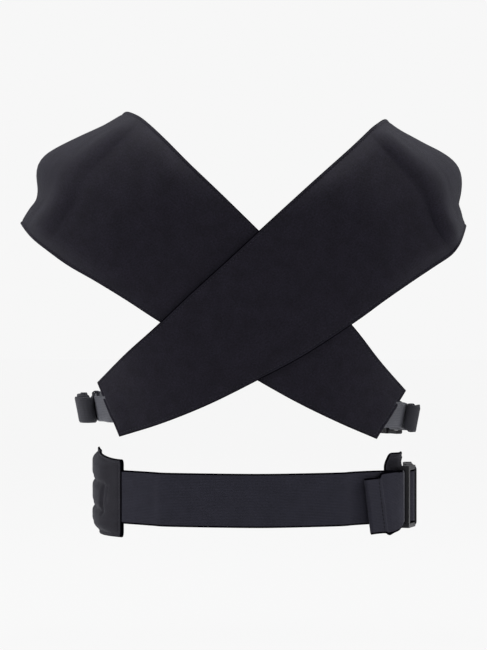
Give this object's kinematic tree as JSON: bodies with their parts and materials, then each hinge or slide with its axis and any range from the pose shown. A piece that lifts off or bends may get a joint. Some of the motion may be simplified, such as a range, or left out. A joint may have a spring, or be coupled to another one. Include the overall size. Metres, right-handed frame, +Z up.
{
  "type": "cross-back carrier harness",
  "caption": "Padded shoulder straps that cross on the back and a waist belt with an elastic band, padded wings and side-release buckles.",
  "frame": {"origin": "centre of the elastic band's inner face at the small of the back", "axes": "+Z up, +Y the way the wearer faces, +X the wearer's right"},
  "size_m": [0.442, 0.2283, 0.4164],
  "materials": {
    "strap_twill": "matt black twill",
    "lining_mesh": "matt spacer mesh",
    "wing_cloth": "matt black stitched cloth",
    "elastic_band": "ribbed knitted elastic",
    "webbing": "woven polyester webbing",
    "foam": "closed-cell foam, inside the covers",
    "buckle_plastic": "satin acetal"
  },
  "bodies": {
    "waist_belt": {"belt_band": "elastic_band", "left_wing_cover": "wing_cloth", "left_wing_pad": "foam", "left_wing_lining": "lining_mesh"},
    "belt_buckle": {"belt_plug": "buckle_plastic", "belt_socket": "buckle_plastic"},
    "belt_prong_top": {"belt_prong_top": "buckle_plastic"},
    "belt_prong_bottom": {"belt_prong_bottom": "buckle_plastic"},
    "right_wing": {"right_wing_cover": "wing_cloth", "right_wing_pad": "foam", "right_wing_lining": "lining_mesh", "wing_anchor_loop": "webbing"},
    "left_strap": {"left_strap_shell": "strap_twill", "left_strap_lining": "lining_mesh", "left_strap_pad": "foam", "left_front_tab": "webbing", "right_strap_webbing": "webbing", "right_clip_plug": "buckle_plastic", "right_clip_socket": "buckle_plastic"},
    "right_strap": {"right_strap_shell": "strap_twill", "right_strap_lining": "lining_mesh", "right_strap_pad": "foam", "right_front_tab": "webbing", "left_strap_webbing": "webbing", "left_clip_plug": "buckle_plastic", "left_clip_socket": "buckle_plastic"},
    "left_webbing_keeper": {"left_webbing_keeper": "elastic_band"},
    "left_clip_prong_top": {"left_clip_prong_top": "buckle_plastic"},
    "left_clip_prong_bottom": {"left_clip_prong_bottom": "buckle_plastic"},
    "left_clip_anchor_loop": {"left_clip_anchor_loop": "webbing"},
    "right_webbing_keeper": {"right_webbing_keeper": "elastic_band"},
    "right_clip_prong_top": {"right_clip_prong_top": "buckle_plastic"},
    "right_clip_prong_bottom": {"right_clip_prong_bottom": "buckle_plastic"},
    "right_clip_anchor_loop": {"right_clip_anchor_loop": "webbing"}
  },
  "joints": [
    {"name": "harness_height", "type": "slide", "parent": "waist_belt", "child": "left_strap", "axis": [0, 0, 1], "range_m": [-0.008, 0.06], "stiffness_N_per_m": 8000},
    {"name": "strap_cross_pivot", "type": "hinge", "parent": "left_strap", "child": "right_strap", "pos_m": [0.002, -0.024, 0.187], "axis": [0, 1, 0], "range_deg": [-2, 3], "stiffness_Nm_per_rad": 150},
    {"name": "band_stretch", "type": "slide", "parent": "waist_belt", "child": "belt_buckle", "axis": [1, 0, 0], "range_m": [0, 0.025], "deforming": ["belt_band"]},
    {"name": "right_wing_swing", "type": "hinge", "parent": "belt_buckle", "child": "right_wing", "pos_m": [0.1523, 0.1258, 0], "axis": [0, 0, -1], "range_deg": [0, 10]},
    {"name": "belt_prong_top_squeeze", "type": "hinge", "parent": "belt_buckle", "child": "belt_prong_top", "pos_m": [0.1523, 0.0829, 0.01883], "axis": [-1, 0, 0], "range_deg": [0, 15], "stiffness_Nm_per_rad": 0.5},
    {"name": "belt_prong_bottom_squeeze", "type": "hinge", "parent": "belt_buckle", "child": "belt_prong_bottom", "pos_m": [0.1523, 0.0829, -0.01883], "axis": [1, 0, 0], "range_deg": [0, 15], "stiffness_Nm_per_rad": 0.5},
    {"name": "left_clip_prong_top_squeeze", "type": "hinge", "parent": "right_strap", "child": "left_clip_prong_top", "pos_m": [-0.14075, 0.14242, 0.09928], "axis": [-0.8924, 0.4512, 0], "range_deg": [0, 15], "stiffness_Nm_per_rad": 0.12},
    {"name": "left_clip_prong_bottom_squeeze", "type": "hinge", "parent": "right_strap", "child": "left_clip_prong_bottom", "pos_m": [-0.14075, 0.14242, 0.07872], "axis": [0.8924, -0.4512, 0], "range_deg": [0, 15], "stiffness_Nm_per_rad": 0.12},
    {"name": "left_anchor_loop_swing", "type": "hinge", "parent": "right_strap", "child": "left_clip_anchor_loop", "pos_m": [-0.12841, 0.16682, 0.089], "axis": [0, 0, 1], "range_deg": [-20, 20]},
    {"name": "left_keeper_slide", "type": "slide", "parent": "right_strap", "child": "left_webbing_keeper", "axis": [0.1187, 0.9889, 0.089], "range_m": [-0.003, 0.002]},
    {"name": "right_clip_prong_top_squeeze", "type": "hinge", "parent": "left_strap", "child": "right_clip_prong_top", "pos_m": [0.13275, 0.13242, 0.08528], "axis": [-0.8924, -0.4512, 0], "range_deg": [0, 15], "stiffness_Nm_per_rad": 0.12},
    {"name": "right_clip_prong_bottom_squeeze", "type": "hinge", "parent": "left_strap", "child": "right_clip_prong_bottom", "pos_m": [0.13275, 0.13242, 0.06472], "axis": [0.8924, 0.4512, 0], "range_deg": [0, 15], "stiffness_Nm_per_rad": 0.12},
    {"name": "right_anchor_loop_swing", "type": "hinge", "parent": "left_strap", "child": "right_clip_anchor_loop", "pos_m": [0.12041, 0.15682, 0.075], "axis": [0, 0, 1], "range_deg": [-20, 20]},
    {"name": "right_keeper_slide", "type": "slide", "parent": "left_strap", "child": "right_webbing_keeper", "axis": [-0.0925, 0.9956, -0.0142], "range_m": [-0.003, 0.002]}
  ]
}
